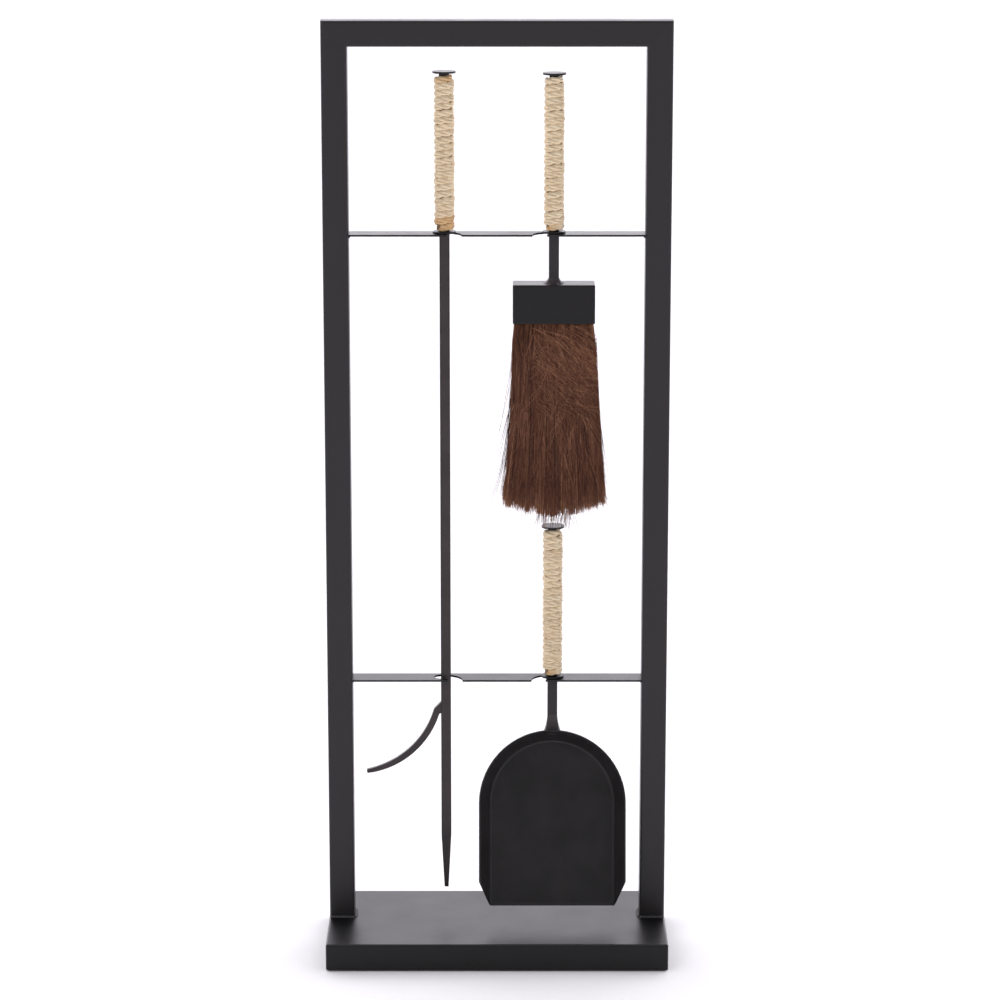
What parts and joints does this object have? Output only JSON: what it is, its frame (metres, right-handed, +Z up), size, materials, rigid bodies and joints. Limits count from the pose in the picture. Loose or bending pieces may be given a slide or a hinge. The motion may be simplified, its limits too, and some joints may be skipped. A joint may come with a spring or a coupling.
{
  "type": "fireplace tool set",
  "caption": "Square-tube stand with slotted racks holding a fireplace poker, hearth brush and ash shovel with cord-wound grips.",
  "frame": {"origin": "on the floor under the middle of the base", "axes": "+Z up, +X to the right seen from the front, -Y towards the front, where the slots open"},
  "size_m": [0.271, 0.13, 0.743],
  "materials": {
    "powder_coat": "satin black powder coat on steel",
    "natural_cord": "twisted plies of natural cord",
    "bristle": "dark brown natural fibre bristles",
    "block_wood": "plain beech",
    "pad": "thin soft stick-on pad"
  },
  "bodies": {
    "stand": {"base_pan": "powder_coat", "foot_pads": "pad", "left_upright": "powder_coat", "right_upright": "powder_coat", "top_rail": "powder_coat", "foot_welds": "powder_coat", "upper_rack": "powder_coat", "lower_rack": "powder_coat", "rack_welds": "powder_coat"},
    "poker": {"poker_shaft": "powder_coat", "poker_hook": "powder_coat", "poker_collar": "powder_coat", "poker_knob": "powder_coat", "poker_grip_cord": "natural_cord"},
    "brush": {"brush_shaft": "powder_coat", "brush_collar": "powder_coat", "brush_knob": "powder_coat", "brush_grip_cord": "natural_cord", "brush_weld": "powder_coat", "brush_ferrule": "powder_coat", "brush_block": "block_wood", "brush_bristles": "bristle"},
    "shovel": {"shovel_shaft": "powder_coat", "shovel_collar": "powder_coat", "shovel_knob": "powder_coat", "shovel_grip_cord": "natural_cord", "shovel_weld": "powder_coat", "shovel_blade": "powder_coat"}
  },
  "joints": [
    {"name": "poker_unhook", "type": "hinge", "parent": "stand", "child": "poker", "pos_m": [-0.043, -0.0005, 0], "axis": [0, 0, 1], "range_deg": [-115, 20]},
    {"name": "brush_unhook", "type": "hinge", "parent": "stand", "child": "brush", "pos_m": [0.043, -0.0005, 0], "axis": [0, 0, 1], "range_deg": [-1, 115]},
    {"name": "shovel_unhook", "type": "hinge", "parent": "stand", "child": "shovel", "pos_m": [0.043, -0.0005, 0], "axis": [0, 0, 1], "range_deg": [-1, 115]}
  ]
}
